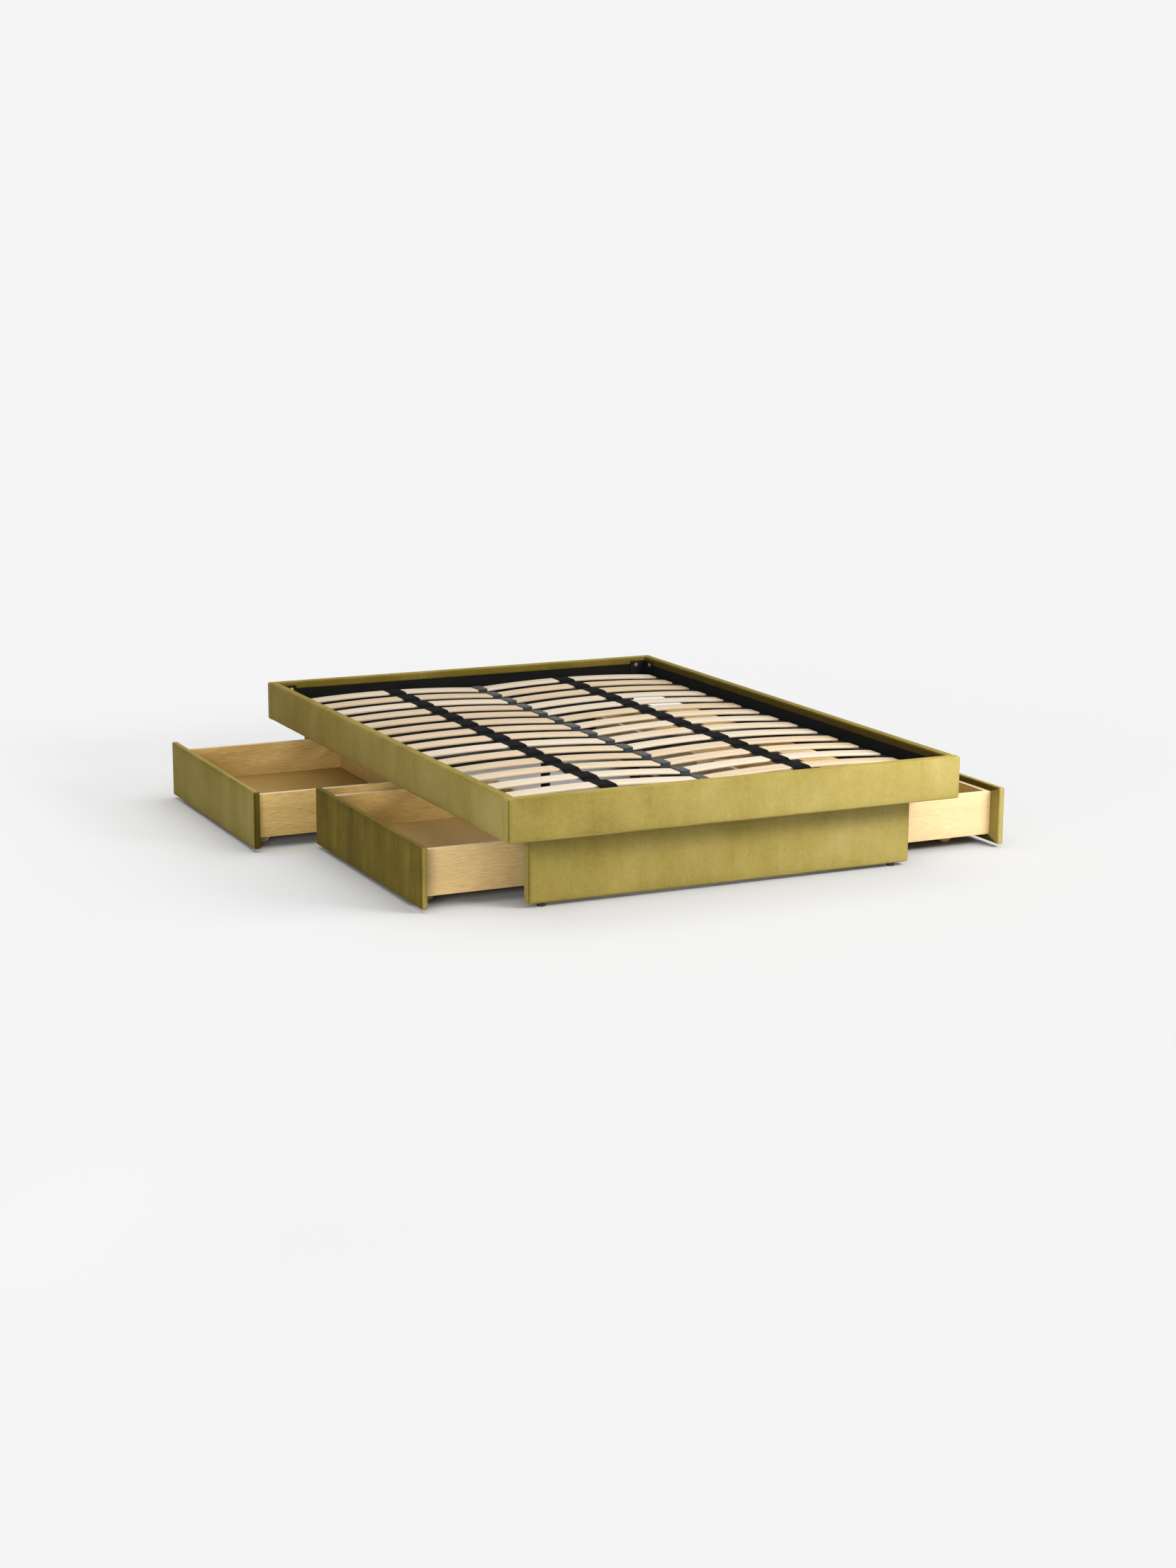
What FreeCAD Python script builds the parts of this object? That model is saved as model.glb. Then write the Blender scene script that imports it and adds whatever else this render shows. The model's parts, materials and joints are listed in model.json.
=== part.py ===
import FreeCAD, Part
import math
import os
import Sketcher

# Storage platform bed: an upholstered frame with sprung slats on a plinth, and four drawers on castors.
# Millimetres. X is the width, Y the length with the head at +Y, Z is up and the floor is at zero.
# The drawers stand open as far as their stay values let them.

doc = FreeCAD.newDocument("storage_platform_bed")
sheet = doc.addObject("Spreadsheet::Sheet", "dims")

sizes = {
    # Upholstered frame
    "bed_width": 1500,
    "bed_length": 2100,
    "frame_top": 352.5,
    "rail_height": 130,
    "rail_core": 30,
    "cover": 3,
    "cover_round": 6,
    "lip_height": 23,
    # Corner brackets and their bolts
    "bracket_thick": 3,
    "bracket_drop": 12.5,
    "bracket_gap": 7.5,
    "bracket_end_leg": 58,
    "bracket_side_leg": 72,
    "bolt_inset": 20,
    "bolt_edge": 13,
    "bolt_radius": 4,
    "bolt_clearance": 0.25,
    "bolt_grip": 22,
    "bolt_head_radius": 7.5,
    "bolt_head_height": 5,
    # Bearers, ledgers and centre beam
    "bearer_width": 40,
    "bearer_height": 40,
    "side_bearer_width": 40,
    "side_bearer_height": 25,
    "side_bearer_inset": 41,
    "ledger_width": 40,
    "ledger_height": 27.5,
    "ledger_gap": 2,
    "beam_width": 44,
    # Centre legs
    "leg_spacing": 680,
    "leg_radius": 16,
    "leg_plate_width": 60,
    "leg_plate_thick": 3,
    "leg_foot_radius": 20,
    "leg_foot_height": 10,
    # Slats, their centre holders and the tapes over them
    "slat_count": 15,
    "slat_width": 63,
    "slat_thick": 8,
    "slat_rise": 14,
    "slat_end_gap": 17,
    "slat_centre_gap": 4,
    "slat_margin": 104,
    "holder_width": 36,
    "holder_round": 6,
    "holder_wall": 3,
    "holder_fit": 0.25,
    "holder_groove": 1.4,
    "tape_width": 60,
    "tape_thick": 1.5,
    "tape_dip": 7,
    "tape_slope": 12,
    "tape_overhang": 1.5,
    "tape_shift": 22,
    # Plinth
    "side_setback": 109,
    "foot_setback": 104,
    "head_setback": 66,
    "plinth_core": 30,
    "plinth_lip": 30,
    "glide_height": 12,
    "glide_radius": 12,
    "glide_inset": 38,
    "glide_shift": 5,
    # Drawers
    "finger_gap": 28,
    "front_floor_gap": 12,
    "front_core": 14,
    "front_lip": 60,
    "front_gap": 4,
    "front_end_gap": 38,
    "box_inset": 48,
    "box_drop": 18.5,
    "box_wall": 16,
    "bottom_thick": 12,
    "bottom_rise": 20,
    "back_gap": 40,
    # How far each open drawer's box still reaches in behind the plinth's side line
    "stay_left_foot": 301,
    "stay_left_head": 101,
    "stay_right_foot": 201,
    "stay_right_head": 201,
    # Castors
    "wheel_radius": 24,
    "wheel_width": 14,
    "wheel_round": 3,
    "wheel_side_gap": 1,
    "wheel_top_gap": 6,
    "pin_radius": 3,
    "pin_clearance": 0.05,
    "fork_cheek": 2.5,
    "fork_plate": 3,
    "fork_width": 30,
    "fork_drop": 7,
    "castor_front_inset": 80,
    "castor_side_inset": 93,
    # Each castor sits this far towards -X of where mirroring would put it
    "castor_shift": 27,
    # Every cut runs past the face it opens by this much
    "overrun": 1,
}
for row, (size_name, size_value) in enumerate(sizes.items(), start=1):
    sheet.set(f"A{row}", size_name)
    sheet.set(f"B{row}", str(size_value))
    sheet.setAlias(f"B{row}", size_name)
doc.recompute()

# Levels and widths that several pieces share, as formulas over the sheet
rail_thick = "(dims.rail_core + 2 * dims.cover)"
rail_bottom = "(dims.frame_top - dims.rail_height)"
inner_half_width = f"(dims.bed_width / 2 - {rail_thick})"
inner_half_length = f"(dims.bed_length / 2 - {rail_thick})"
bearer_top = f"({rail_bottom} + dims.bearer_height)"
slat_seat = f"({bearer_top} + dims.ledger_height)"
slat_length = f"({inner_half_width} - dims.slat_end_gap - dims.slat_centre_gap)"
slat_span = f"(2 * {inner_half_length} - 2 * dims.slat_margin)"
slat_pitch = f"({slat_span} / (dims.slat_count - 1))"
plinth_thick = "(dims.plinth_core + 2 * dims.cover)"
plinth_half_width = "(dims.bed_width / 2 - dims.side_setback)"
foot_plinth_y = f"(-dims.bed_length / 2 + dims.foot_setback + {plinth_thick} / 2)"
head_plinth_y = f"(dims.bed_length / 2 - dims.head_setback - {plinth_thick} / 2)"
plinth_middle_y = f"(({foot_plinth_y} + {head_plinth_y}) / 2)"
plinth_inner_length = f"({head_plinth_y} - {foot_plinth_y} - {plinth_thick})"

nodes = []


def value(formula):
    return float(sheet.evalExpression(formula))


def node(piece, label):
    """Names a finished piece and puts it on the list of pieces to write."""
    piece.Label = label
    nodes.append(piece)
    return piece


def place(piece, x, y, z):
    """Binds a piece's position to formulas."""
    piece.setExpression("Placement.Base.x", x)
    piece.setExpression("Placement.Base.y", y)
    piece.setExpression("Placement.Base.z", z)


def block(name, size, centre, bottom):
    """A box of the given size, centred in X and Y, standing on the level called bottom."""
    box = doc.addObject("Part::Box", name)
    box.setExpression("Length", size[0])
    box.setExpression("Width", size[1])
    box.setExpression("Height", size[2])
    place(box, f"{centre[0]} - ({size[0]}) / 2", f"{centre[1]} - ({size[1]}) / 2", bottom)
    return box


def turned(direction):
    """The rotation that takes +Z to the given direction."""
    return FreeCAD.Rotation(FreeCAD.Vector(0, 0, 1), FreeCAD.Vector(*direction))


def rod(name, radius, length, start, direction):
    """A cylinder that begins at start and runs along direction."""
    cylinder = doc.addObject("Part::Cylinder", name)
    cylinder.Placement.Rotation = turned(direction)
    cylinder.setExpression("Radius", radius)
    cylinder.setExpression("Height", length)
    place(cylinder, *start)
    return cylinder


def hexagon(name, radius, length, start, direction):
    """A six-sided prism that begins at start and runs along direction."""
    prism = doc.addObject("Part::Prism", name)
    prism.Polygon = 6
    prism.Placement.Rotation = turned(direction)
    prism.setExpression("Circumradius", radius)
    prism.setExpression("Height", length)
    place(prism, *start)
    return prism


def cut(name, base, tool):
    piece = doc.addObject("Part::Cut", name)
    piece.Base = base
    piece.Tool = tool
    return piece


def fuse(name, pieces):
    piece = doc.addObject("Part::MultiFuse", name)
    piece.Shapes = pieces
    return piece


def group(name, pieces):
    """Separate solids that share one node."""
    piece = doc.addObject("Part::Compound", name)
    piece.Links = pieces
    return piece


def origin_feature(body, role):
    return next(feature for feature in body.Origin.OriginFeatures if feature.Role == role)


def new_body(name):
    body = doc.addObject("PartDesign::Body", name)
    body.AllowCompound = True
    return body


def new_sketch(body, name, plane):
    sketch = body.newObject("Sketcher::SketchObject", name)
    sketch.AttachmentSupport = [(origin_feature(body, plane), "")]
    sketch.MapMode = "FlatFace"
    return sketch


def bind(sketch, constraint, name, formula):
    """Adds a dimension to a sketch and binds it to a formula."""
    index = sketch.addConstraint(constraint)
    sketch.renameConstraint(index, name)
    sketch.setExpression(f"Constraints.{name}", formula)


def outline(body, name, plane, loops):
    """A sketch of closed polygons whose corners are pairs of formulas."""
    sketch = new_sketch(body, name, plane)
    first = 0
    for loop in loops:
        corners = [FreeCAD.Vector(value(across), value(along), 0) for across, along in loop]
        count = len(corners)
        for index in range(count):
            sketch.addGeometry(Part.LineSegment(corners[index], corners[(index + 1) % count]), False)
        for index, (across, along) in enumerate(loop):
            line = first + index
            after = first + (index + 1) % count
            sketch.addConstraint(Sketcher.Constraint("Coincident", line, 2, after, 1))
            for kind, axis, formula in (("DistanceX", -2, across), ("DistanceY", -1, along)):
                if formula == "0":
                    sketch.addConstraint(Sketcher.Constraint("PointOnObject", line, 1, axis))
                else:
                    limit = Sketcher.Constraint(kind, -1, 1, line, 1, value(formula))
                    bind(sketch, limit, f"{kind}{line}", formula)
        first += count
    return sketch


def rectangle(width, height, bottom):
    """The corners of a rectangle centred across, standing on the level called bottom."""
    half = f"({width}) / 2"
    top = f"{bottom} + ({height})"
    return [(f"-{half}", bottom), (half, bottom), (half, top), (f"-{half}", top)]


def pad(body, name, sketch, length, symmetric=False):
    feature = body.newObject("PartDesign::Pad", name)
    feature.Profile = sketch
    feature.SideType = "Symmetric" if symmetric else "One side"
    feature.setExpression("Length", length)
    body.Tip = feature
    return feature


def round_edges(body, name, base, radius, chosen):
    """Rounds the edges of base that the test called chosen accepts."""
    doc.recompute()
    edges = [f"Edge{index}" for index, edge in enumerate(base.Shape.Edges, start=1) if chosen(edge)]
    feature = body.newObject("PartDesign::Fillet", name)
    feature.Base = (base, edges)
    feature.setExpression("Radius", radius)
    body.Tip = feature
    return feature


def row_of(body, name, features, axis, count, spacing):
    """Repeats features, or the whole body so far if none are named, along one of the body's own axes."""
    feature = body.newObject("PartDesign::LinearPattern", name)
    feature.Originals = features
    feature.TransformMode = "Features" if features else "Whole shape"
    feature.Direction = (origin_feature(body, axis), [""])
    feature.Mode = "Spacing"
    feature.setExpression("Occurrences", count)
    feature.setExpression("Offset", spacing)
    body.Tip = feature
    return feature


def padded_block(name, size, centre, bottom, chosen):
    """The outside of an upholstered cover: a block with rounded edges."""
    body = new_body(name)
    base = outline(body, f"{name}_outline", "XY_Plane", [rectangle(size[0], size[1], f"-({size[1]}) / 2")])
    feature = pad(body, f"{name}_pad", base, size[2])
    round_edges(body, f"{name}_round", feature, "dims.cover_round", chosen)
    place(body, centre[0], centre[1], bottom)
    return body


def every_edge(edge):
    return True


def edge_along_y(edge):
    direction = edge.Vertexes[1].Point - edge.Vertexes[0].Point
    return abs(direction.y) > abs(direction.x) + abs(direction.z)


def edge_along_z(edge):
    direction = edge.Vertexes[1].Point - edge.Vertexes[0].Point
    return abs(direction.z) > abs(direction.x) + abs(direction.y)


def edge_below_top(edge):
    return edge.CenterOfMass.z < value(f"{rail_bottom} - dims.glide_height - dims.cover_round")


# Bolts and their holes in the four inner corners: two through each leg of each bracket
bracket_height = "(dims.rail_height - dims.bracket_drop - dims.bearer_height - dims.bracket_gap)"
bracket_bottom = f"({bearer_top} + dims.bracket_gap)"
bolt_levels = (f"{bracket_bottom} + dims.bolt_edge", f"{bracket_bottom} + {bracket_height} - dims.bolt_edge")
bolt_reach = "(dims.bracket_thick + dims.cover + dims.bolt_grip)"
corners = [(side, end) for side in (-1, 1) for end in (-1, 1)]
bolts = []
bolt_holes = []
for side, end in corners:
    side_face = f"{side} * ({inner_half_width} - dims.bracket_thick)"
    side_bolt_y = f"{end} * ({inner_half_length} - dims.bracket_side_leg + dims.bolt_inset)"
    end_face = f"{end} * ({inner_half_length} - dims.bracket_thick)"
    end_bolt_x = f"{side} * ({inner_half_width} - dims.bracket_end_leg + dims.bolt_inset)"
    for level in bolt_levels:
        for face, direction in (
            ((side_face, side_bolt_y, level), (side, 0, 0)),
            ((end_bolt_x, end_face, level), (0, end, 0)),
        ):
            number = len(bolts)
            behind_head = [f"{at} - {step} * dims.bolt_head_height" for at, step in zip(face, direction)]
            before_hole = [f"{at} - {step} * dims.overrun" for at, step in zip(face, direction)]
            head_size = ("dims.bolt_head_radius", "dims.bolt_head_height")
            head = hexagon(f"bolt_head_{number}", *head_size, behind_head, direction)
            shank = rod(f"bolt_shank_{number}", "dims.bolt_radius", bolt_reach, face, direction)
            bolts.append(fuse(f"bolt_{number}", [head, shank]))
            hole_length = f"{bolt_reach} + dims.overrun + dims.bolt_clearance"
            hole_radius = "dims.bolt_radius + dims.bolt_clearance"
            bolt_holes.append(rod(f"bolt_hole_{number}", hole_radius, hole_length, before_hole, direction))
node(group("frame_bolts", bolts), "frame_bolts")
all_holes = group("bolt_holes", bolt_holes)

# Steel angles in the corners
angles = []
for number, (side, end) in enumerate(corners):
    side_leg = block(
        f"bracket_side_leg_{number}",
        ("dims.bracket_thick", "dims.bracket_side_leg", bracket_height),
        (
            f"{side} * ({inner_half_width} - dims.bracket_thick / 2)",
            f"{end} * ({inner_half_length} - dims.bracket_side_leg / 2)",
        ),
        bracket_bottom,
    )
    end_leg = block(
        f"bracket_end_leg_{number}",
        ("dims.bracket_end_leg", "dims.bracket_thick", bracket_height),
        (
            f"{side} * ({inner_half_width} - dims.bracket_end_leg / 2)",
            f"{end} * ({inner_half_length} - dims.bracket_thick / 2)",
        ),
        bracket_bottom,
    )
    angles.append(fuse(f"angle_{number}", [side_leg, end_leg]))
node(cut("corner_brackets", group("angles", angles), all_holes), "corner_brackets")

# Rails: a timber core, a velvet cover open on the inner face below its lip, and a black lining in that window
core_bottom = f"{rail_bottom} + dims.cover"
core_height = "(dims.rail_height - 2 * dims.cover)"
window_height = "(dims.rail_height - dims.cover - dims.lip_height)"
window_depth = "(dims.cover + dims.overrun)"
linings = []
for label, end in (("foot_rail", -1), ("head_rail", 1)):
    middle_y = f"{end} * (dims.bed_length / 2 - {rail_thick} / 2)"
    core = block(
        f"{label}_core",
        ("dims.bed_width - 2 * dims.cover", "dims.rail_core", core_height),
        ("0", middle_y),
        core_bottom,
    )
    outside = padded_block(
        f"{label}_outside",
        ("dims.bed_width", rail_thick, "dims.rail_height"),
        ("0", middle_y),
        rail_bottom,
        every_edge,
    )
    window = block(
        f"{label}_window",
        (f"2 * {inner_half_width}", window_depth, window_height),
        ("0", f"{end} * ({inner_half_length} + dims.cover / 2 - dims.overrun / 2)"),
        core_bottom,
    )
    lining = block(
        f"{label}_lining",
        (f"2 * {inner_half_width}", "dims.cover", window_height),
        ("0", f"{end} * ({inner_half_length} + dims.cover / 2)"),
        core_bottom,
    )
    linings.append(lining)
    node(cut(label, core, all_holes), label)
    opened = cut(f"{label}_opened", cut(f"{label}_shell", outside, core), window)
    node(cut(f"{label}_cover", opened, all_holes), f"{label}_cover")

for label, side in (("left_rail", -1), ("right_rail", 1)):
    middle_x = f"{side} * (dims.bed_width / 2 - {rail_thick} / 2)"
    core = block(
        f"{label}_core",
        ("dims.rail_core", f"2 * {inner_half_length}", core_height),
        (middle_x, "0"),
        core_bottom,
    )
    hollow = block(
        f"{label}_hollow",
        ("dims.rail_core", f"2 * {inner_half_length} + 2 * dims.overrun", core_height),
        (middle_x, "0"),
        core_bottom,
    )
    outside = padded_block(
        f"{label}_outside",
        (rail_thick, f"2 * {inner_half_length}", "dims.rail_height"),
        (middle_x, "0"),
        rail_bottom,
        edge_along_y,
    )
    window = block(
        f"{label}_window",
        (window_depth, f"2 * {inner_half_length} + 2 * dims.overrun", window_height),
        (f"{side} * ({inner_half_width} + dims.cover / 2 - dims.overrun / 2)", "0"),
        core_bottom,
    )
    lining = block(
        f"{label}_lining",
        ("dims.cover", f"2 * {inner_half_length}", window_height),
        (f"{side} * ({inner_half_width} + dims.cover / 2)", "0"),
        core_bottom,
    )
    linings.append(lining)
    node(cut(label, core, all_holes), label)
    opened = cut(f"{label}_opened", cut(f"{label}_shell", outside, hollow), window)
    node(cut(f"{label}_cover", opened, all_holes), f"{label}_cover")
node(cut("rail_linings", group("lining_strips", linings), all_holes), "rail_linings")

# Cross bearers on the plinth, ledgers along the side rails and the beam down the middle
bearers = []
for number, bearer_y in enumerate((foot_plinth_y, "0", head_plinth_y)):
    bearers.append(
        block(
            f"cross_bearer_{number}",
            (f"2 * {inner_half_width}", "dims.bearer_width", "dims.bearer_height"),
            ("0", bearer_y),
            rail_bottom,
        )
    )
node(group("cross_bearers", bearers), "cross_bearers")

ledgers = []
for number, side in enumerate((-1, 1)):
    ledgers.append(
        block(
            f"ledger_{number}",
            (
                "dims.ledger_width",
                f"2 * ({inner_half_length} - dims.bracket_side_leg - dims.ledger_gap)",
                "dims.ledger_height",
            ),
            (f"{side} * ({inner_half_width} - dims.ledger_width / 2)", "0"),
            bearer_top,
        )
    )
node(group("slat_ledgers", ledgers), "slat_ledgers")

beam_size = ("dims.beam_width", f"2 * {inner_half_length}", "dims.ledger_height - dims.holder_wall")
node(block("centre_beam", beam_size, ("0", "0"), bearer_top), "centre_beam")

# Two legs under the centre beam, and their feet
leg_top = f"({bearer_top} - dims.leg_plate_thick)"
leg_height = f"{leg_top} - dims.leg_foot_height"
leg_plate_size = ("dims.leg_plate_width", "dims.leg_plate_width", "dims.leg_plate_thick")
legs = []
feet = []
for number, end in enumerate((-1, 1)):
    leg_y = f"{end} * dims.leg_spacing / 2"
    column_start = ("0", leg_y, "dims.leg_foot_height")
    column = rod(f"leg_column_{number}", "dims.leg_radius", leg_height, column_start, (0, 0, 1))
    plate = block(f"leg_plate_{number}", leg_plate_size, ("0", leg_y), leg_top)
    legs.append(fuse(f"leg_{number}", [column, plate]))
    foot_size = ("dims.leg_foot_radius", "dims.leg_foot_height")
    feet.append(rod(f"leg_foot_{number}", *foot_size, ("0", leg_y, "0"), (0, 0, 1)))
node(group("centre_legs", legs), "centre_legs")
node(group("centre_leg_feet", feet), "centre_leg_feet")


def arched_outline(body, name):
    """The side view of a sprung slat: two equal arcs, one slat thickness apart, closed by upright ends."""
    sketch = new_sketch(body, name, "XZ_Plane")
    length = value(slat_length)
    rise = value("dims.slat_rise")
    thick = value("dims.slat_thick")
    radius = length**2 / (8 * rise) + rise / 2
    half_angle = math.asin(length / 2 / radius)
    start_angle = math.pi / 2 - half_angle
    end_angle = math.pi / 2 + half_angle
    up = FreeCAD.Vector(0, 0, 1)
    lower = Part.Circle(FreeCAD.Vector(length / 2, rise - radius, 0), up, radius)
    upper = Part.Circle(FreeCAD.Vector(length / 2, rise - radius + thick, 0), up, radius)
    inner_end = (FreeCAD.Vector(length, 0, 0), FreeCAD.Vector(length, thick, 0))
    outer_end = (FreeCAD.Vector(0, thick, 0), FreeCAD.Vector(0, 0, 0))
    sketch.addGeometry(Part.ArcOfCircle(lower, start_angle, end_angle), False)
    sketch.addGeometry(Part.LineSegment(*inner_end), False)
    sketch.addGeometry(Part.ArcOfCircle(upper, start_angle, end_angle), False)
    sketch.addGeometry(Part.LineSegment(*outer_end), False)
    joins = ((0, 1, 1, 1), (1, 2, 2, 1), (2, 2, 3, 1), (3, 2, 0, 2), (0, 2, -1, 1))
    for join in joins:
        sketch.addConstraint(Sketcher.Constraint("Coincident", *join))
    sketch.addConstraint(Sketcher.Constraint("PointOnObject", 0, 1, -1))
    sketch.addConstraint(Sketcher.Constraint("Vertical", 1))
    sketch.addConstraint(Sketcher.Constraint("Vertical", 3))
    sketch.addConstraint(Sketcher.Constraint("Equal", 1, 3))
    sketch.addConstraint(Sketcher.Constraint("Equal", 0, 2))
    bend = f"{slat_length}^2 / (8 * dims.slat_rise) + dims.slat_rise / 2"
    bind(sketch, Sketcher.Constraint("DistanceX", -1, 1, 0, 1, length), "span", slat_length)
    bind(sketch, Sketcher.Constraint("DistanceY", 1, 1, 1, 2, thick), "thick", "dims.slat_thick")
    bind(sketch, Sketcher.Constraint("Radius", 0, radius), "bend", bend)
    return sketch


# Slats from the ledgers to the centre holders
slat_rows = (
    ("slats_left", f"-({inner_half_width} - dims.slat_end_gap)"),
    ("slats_right", "dims.slat_centre_gap"),
)
for label, slat_x in slat_rows:
    body = new_body(label)
    slat = pad(body, f"{label}_pad", arched_outline(body, f"{label}_arch"), "dims.slat_width", symmetric=True)
    row_of(body, f"{label}_row", [slat], "Y_Axis", "dims.slat_count", slat_pitch)
    place(body, slat_x, f"-{slat_span} / 2", slat_seat)
    node(body, label)

# Double holders on the beam: a pocket for a slat's end on each side of a web, with grooved front and back
pocket_depth = "(dims.holder_width / 2 - dims.slat_centre_gap)"
pocket_height = f"(dims.slat_thick + 4 * dims.slat_rise / {slat_length} * {pocket_depth} + dims.holder_fit)"
pocket_length = "(dims.slat_width + 2 * dims.holder_fit)"
holder_length = f"({pocket_length} + 2 * dims.holder_wall)"
holder_height = f"({pocket_height} + 2 * dims.holder_wall)"
holders = new_body("slat_holders")
holder_plan = rectangle("dims.holder_width", holder_length, f"-{holder_length} / 2")
holder_base = outline(holders, "holder_base", "XY_Plane", [holder_plan])
holder_block = pad(holders, "holder_block", holder_base, holder_height)
holder_corners = round_edges(holders, "holder_corners", holder_block, "dims.holder_round", edge_along_z)
holder_features = [holder_block, holder_corners]
for name, side in (("holder_pocket_left", -1), ("holder_pocket_right", 1)):
    mouth = outline(
        holders, f"{name}_mouth", "YZ_Plane", [rectangle(pocket_length, pocket_height, "dims.holder_wall")]
    )
    mouth.setExpression("AttachmentOffset.Base.z", f"{side} * dims.slat_centre_gap")
    pocket = holders.newObject("PartDesign::Pocket", name)
    pocket.Profile = mouth
    pocket.Type = "ThroughAll"
    pocket.Reversed = side > 0
    holder_features.append(pocket)
groove_level_shares = (0.3, 0.6)
grooves = []
for level_share in groove_level_shares:
    groove_bottom = f"{level_share} * {holder_height}"
    groove_top = f"{groove_bottom} + dims.holder_groove"
    for end in (-1, 1):
        deep = f"{end} * ({holder_length} / 2 - dims.holder_groove / 2)"
        past = f"{end} * ({holder_length} / 2 + dims.overrun)"
        grooves.append([(deep, groove_bottom), (past, groove_bottom), (past, groove_top), (deep, groove_top)])
groove_cut = holders.newObject("PartDesign::Pocket", "holder_grooves")
groove_cut.Profile = outline(holders, "holder_groove_ends", "YZ_Plane", grooves)
groove_cut.SideType = "Symmetric"
groove_cut.Type = "ThroughAll"
holder_features.append(groove_cut)
row_of(holders, "holder_row", holder_features, "Y_Axis", "dims.slat_count", slat_pitch)
place(holders, "0", f"-{slat_span} / 2", f"{slat_seat} - dims.holder_wall")
node(holders, "slat_holders")

# Webbing tapes: flat over each slat's crown, dipping into the gaps between the slats
tape_flat = "(dims.slat_width / 2 + dims.tape_overhang)"
tape_low = f"({tape_flat} + dims.tape_slope)"
tape_wave = [
    (f"-{slat_pitch} / 2", "-dims.tape_dip"),
    (f"-{tape_low}", "-dims.tape_dip"),
    (f"-{tape_flat}", "0"),
    (tape_flat, "0"),
    (tape_low, "-dims.tape_dip"),
    (f"{slat_pitch} / 2", "-dims.tape_dip"),
]
tape_top = [(across, f"dims.tape_thick + {along}") for across, along in reversed(tape_wave)]
slat_middle = f"(dims.slat_centre_gap + {slat_length} / 2)"
tapes = []
for name, side in (("tape_left", -1), ("tape_right", 1)):
    body = new_body(name)
    profile = outline(body, f"{name}_profile", "YZ_Plane", [tape_wave + tape_top])
    wave = pad(body, f"{name}_wave", profile, "dims.tape_width", symmetric=True)
    row_of(body, f"{name}_row", [wave], "Y_Axis", "dims.slat_count", slat_pitch)
    tape_x = f"{side} * ({slat_middle} - dims.tape_shift)"
    place(body, tape_x, f"-{slat_span} / 2", f"{slat_seat} + dims.slat_rise + dims.slat_thick")
    tapes.append(body)
node(group("slat_tapes", tapes), "slat_tapes")

# Plinth panels: a timber core whose cover is open at the top and on the inner face, standing on glides
plinth_height = f"({rail_bottom} - dims.glide_height)"
glides = []
for label, plinth_y, inward in (("foot_plinth", foot_plinth_y, 1), ("head_plinth", head_plinth_y, -1)):
    core_size = (f"2 * {plinth_half_width} - 2 * dims.cover", "dims.plinth_core")
    core_level = "dims.glide_height + dims.cover"
    core = block(label, (*core_size, f"{plinth_height} - dims.cover"), ("0", plinth_y), core_level)
    hollow = block(f"{label}_hollow", (*core_size, plinth_height), ("0", plinth_y), core_level)
    outside = padded_block(
        f"{label}_outside",
        (f"2 * {plinth_half_width}", plinth_thick, plinth_height),
        ("0", plinth_y),
        "dims.glide_height",
        edge_below_top,
    )
    window = block(
        f"{label}_window",
        (f"2 * {plinth_half_width} - 2 * dims.plinth_lip", window_depth, plinth_height),
        ("0", f"{plinth_y} + {inward} * ({plinth_thick} / 2 - dims.cover / 2 + dims.overrun / 2)"),
        "dims.glide_height + dims.plinth_lip",
    )
    node(core, label)
    node(cut(f"{label}_cover", cut(f"{label}_shell", outside, hollow), window), f"{label}_cover")
    for side in (-1, 1):
        glide_x = f"{side} * ({plinth_half_width} - dims.glide_inset - dims.glide_radius)"
        glide_start = (glide_x, f"{plinth_y} + {inward} * dims.glide_shift", "0")
        glide_size = ("dims.glide_radius", "dims.glide_height")
        glides.append(rod(f"glide_{len(glides)}", *glide_size, glide_start, (0, 0, 1)))
node(group("glides", glides), "glides")

# Side bearers between the plinth panels, behind the finger gap above the drawer fronts
side_bearers = []
for number, side in enumerate((-1, 1)):
    bearer_x = f"{side} * ({plinth_half_width} - dims.side_bearer_inset - dims.side_bearer_width / 2)"
    side_bearers.append(
        block(
            f"side_bearer_{number}",
            ("dims.side_bearer_width", f"{plinth_inner_length} + 2 * dims.cover", "dims.side_bearer_height"),
            (bearer_x, plinth_middle_y),
            f"{rail_bottom} - dims.side_bearer_height",
        )
    )
node(group("side_bearers", side_bearers), "side_bearers")

# Levels and depths of a drawer; depths run outward from the bed's middle plane with the drawer shut
front_thick = "(dims.front_core + 2 * dims.cover)"
front_length = f"(({plinth_inner_length} - 2 * dims.front_end_gap - dims.front_gap) / 2)"
front_height = f"({rail_bottom} - dims.finger_gap - dims.front_floor_gap)"
front_back = f"({plinth_half_width} - {front_thick})"
front_middle = f"({plinth_half_width} - {front_thick} / 2)"
box_length = f"({front_length} - 2 * dims.box_inset)"
box_depth = f"({front_back} - dims.back_gap)"
box_middle = f"(({front_back} + dims.back_gap) / 2)"
board_under = "(2 * dims.wheel_radius + dims.wheel_top_gap + dims.fork_plate)"
box_under = f"({board_under} - dims.bottom_rise)"
box_height = f"({rail_bottom} - dims.finger_gap - dims.box_drop - {box_under})"
fork_gap = "(dims.wheel_width + 2 * dims.wheel_side_gap)"
fork_outer = f"({fork_gap} + 2 * dims.fork_cheek)"
castor_span_x = f"({box_depth} - 2 * dims.castor_front_inset)"
castor_span_y = f"({box_length} - 2 * dims.castor_side_inset)"


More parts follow.
